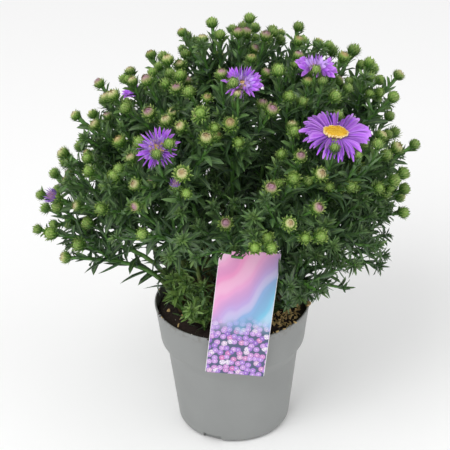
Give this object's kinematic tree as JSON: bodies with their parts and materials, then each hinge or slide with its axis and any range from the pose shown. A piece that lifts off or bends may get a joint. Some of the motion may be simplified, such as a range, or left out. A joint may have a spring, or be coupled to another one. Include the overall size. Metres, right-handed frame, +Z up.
{
  "type": "potted cushion aster",
  "caption": "Dense domed aster with lime buds and a few open violet daisies, in a round grey nursery pot of dark soil with a picture label hooked over its rim.",
  "frame": {"origin": "middle of the pot's flat base, on its axis", "axes": "+Z up along the pot's axis, -Y towards the side the label hangs on, +X to the right seen from there"},
  "size_m": [0.2852, 0.248, 0.3222],
  "materials": {
    "pot": "satin",
    "soil": "matte",
    "label": "satin",
    "foliage": "matte",
    "ray": "matte",
    "disc": "matte"
  },
  "bodies": {
    "root": {"pot": "pot", "soil": "soil", "label": "label", "leafy_stem_01": "foliage", "leafy_stem_02": "foliage", "leafy_stem_03": "foliage", "leafy_stem_04": "foliage", "leafy_stem_05": "foliage", "leafy_stem_06": "foliage", "leafy_stem_07": "foliage", "leafy_stem_08": "foliage", "leafy_stem_09": "foliage", "leafy_stem_10": "foliage", "leafy_stem_11": "foliage", "leafy_stem_12": "foliage", "leafy_stem_13": "foliage", "leafy_stem_14": "foliage", "leafy_stem_15": "foliage", "leafy_stem_16": "foliage", "leafy_stem_17": "foliage", "leafy_stem_18": "foliage", "leafy_stem_19": "foliage", "leafy_stem_20": "foliage", "leafy_stem_21": "foliage", "leafy_stem_22": "foliage", "leafy_stem_23": "foliage", "leafy_stem_24": "foliage", "leafy_stem_25": "foliage", "leafy_stem_26": "foliage", "leafy_stem_27": "foliage", "leafy_stem_28": "foliage", "leafy_stem_29": "foliage", "leafy_stem_30": "foliage", "leafy_stem_31": "foliage", "leafy_stem_32": "foliage", "leafy_stem_33": "foliage", "leafy_stem_34": "foliage", "leafy_stem_35": "foliage", "leafy_stem_36": "foliage", "leafy_stem_37": "foliage", "basal_shoot_1": "foliage", "basal_shoot_2": "foliage", "basal_shoot_3": "foliage", "basal_shoot_4": "foliage", "basal_shoot_5": "foliage", "basal_shoot_6": "foliage", "basal_shoot_7": "foliage", "basal_shoot_8": "foliage", "bloom_1_rays": "ray", "bloom_1_disc": "disc", "bloom_2_rays": "ray", "bloom_2_disc": "disc", "bloom_3_rays": "ray", "bloom_3_disc": "disc", "bloom_4_rays": "ray", "bloom_4_disc": "disc", "bloom_5_rays": "ray", "bloom_5_disc": "disc", "bloom_6_rays": "ray", "bloom_6_disc": "disc"}
  },
  "joints": []
}
